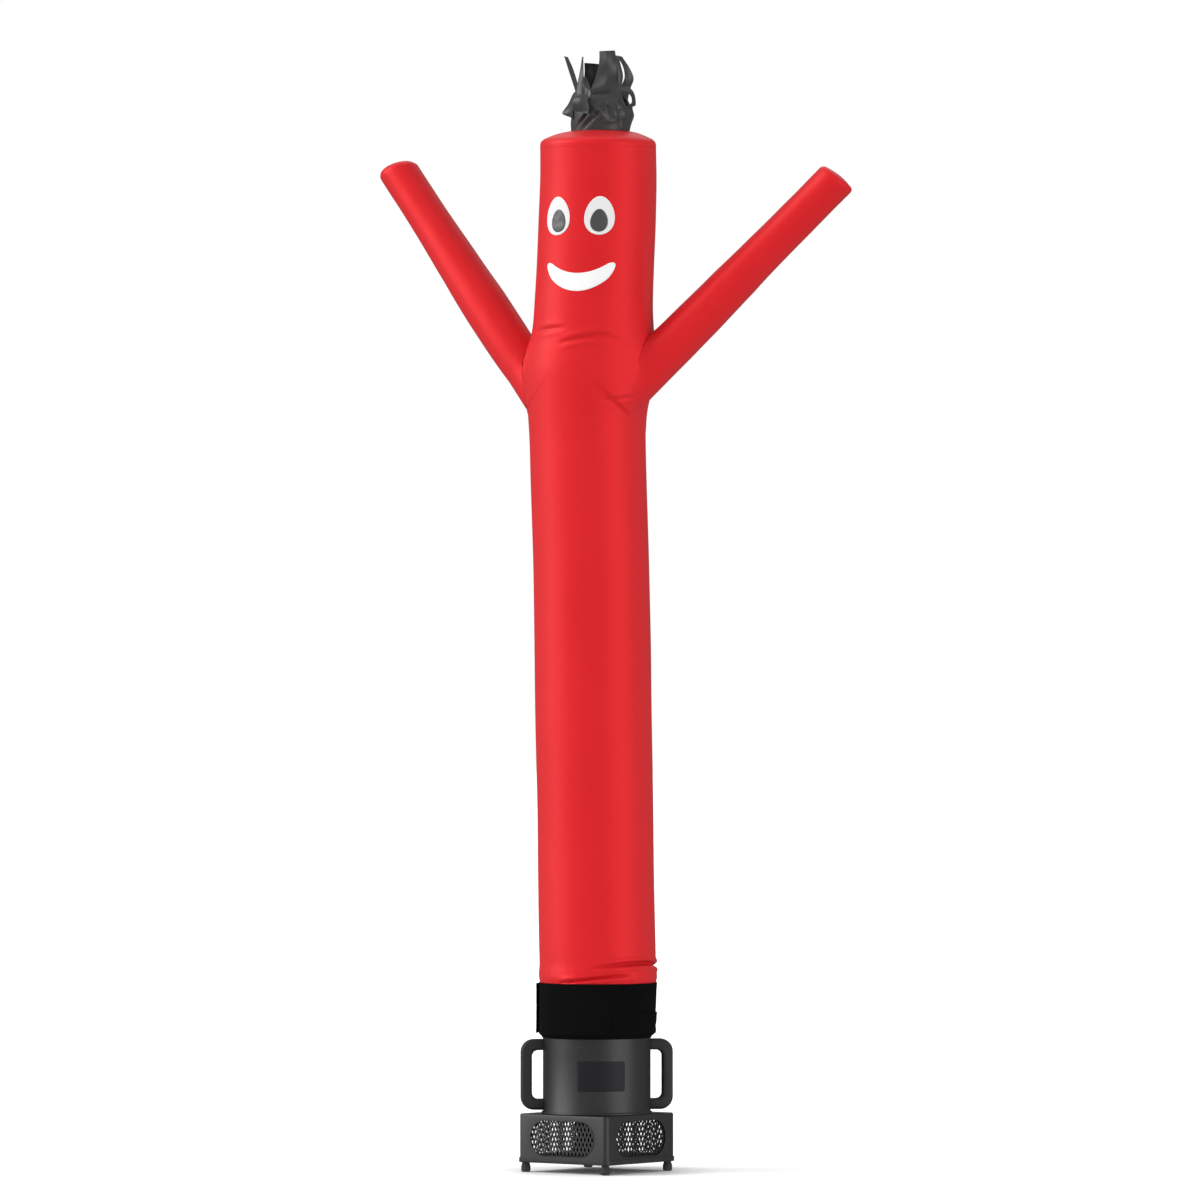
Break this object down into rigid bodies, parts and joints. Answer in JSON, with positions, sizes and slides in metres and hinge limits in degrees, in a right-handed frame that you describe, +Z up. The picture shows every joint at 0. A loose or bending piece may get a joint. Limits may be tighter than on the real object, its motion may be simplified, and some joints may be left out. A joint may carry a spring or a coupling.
{
  "type": "inflatable air dancer on its fan blower",
  "caption": "Tall red inflated cloth tube with raised arms, a smiling face and black ribbon hair, gripped by a black collar on the round outlet of its fan blower.",
  "frame": {"origin": "on the blower's axis, on the plane that its feet stand on", "axes": "+Z up along the tube, -Y the way the face looks, the arms spread along X and lean back towards +Y"},
  "size_m": [1.4329, 0.4126, 3.202],
  "materials": {
    "red_cloth": "smooth coated nylon, slight sheen",
    "black_cloth": "dense matt woven cuff",
    "hair_cloth": "thin nylon ribbon",
    "white_cloth": "matt sewn patch",
    "pupil_cloth": "matt sewn patch",
    "black_housing": "satin black coating",
    "black_handle": "satin black",
    "label_film": "plain dark film",
    "dark_mesh": "coated expanded metal",
    "black_rubber": "matt"
  },
  "bodies": {
    "root": {"body_tube": "red_cloth", "head_cap": "red_cloth", "arm_left": "red_cloth", "arm_right": "red_cloth", "hair": "hair_cloth", "eye_left": "white_cloth", "eye_right": "white_cloth", "pupil_left": "pupil_cloth", "pupil_right": "pupil_cloth", "mouth": "white_cloth", "collar": "black_cloth", "collar_flap": "black_cloth", "strap_tail": "black_cloth", "drum": "black_housing", "label_plate": "label_film", "handle_left": "black_handle", "handle_right": "black_handle", "base_box": "black_housing", "base_tray": "black_housing", "grille_1": "dark_mesh", "grille_2": "dark_mesh", "grille_3": "dark_mesh", "grille_4": "dark_mesh", "foot_1": "black_rubber", "foot_2": "black_rubber", "foot_3": "black_rubber", "foot_4": "black_rubber", "cable_gland": "black_rubber"}
  },
  "joints": []
}
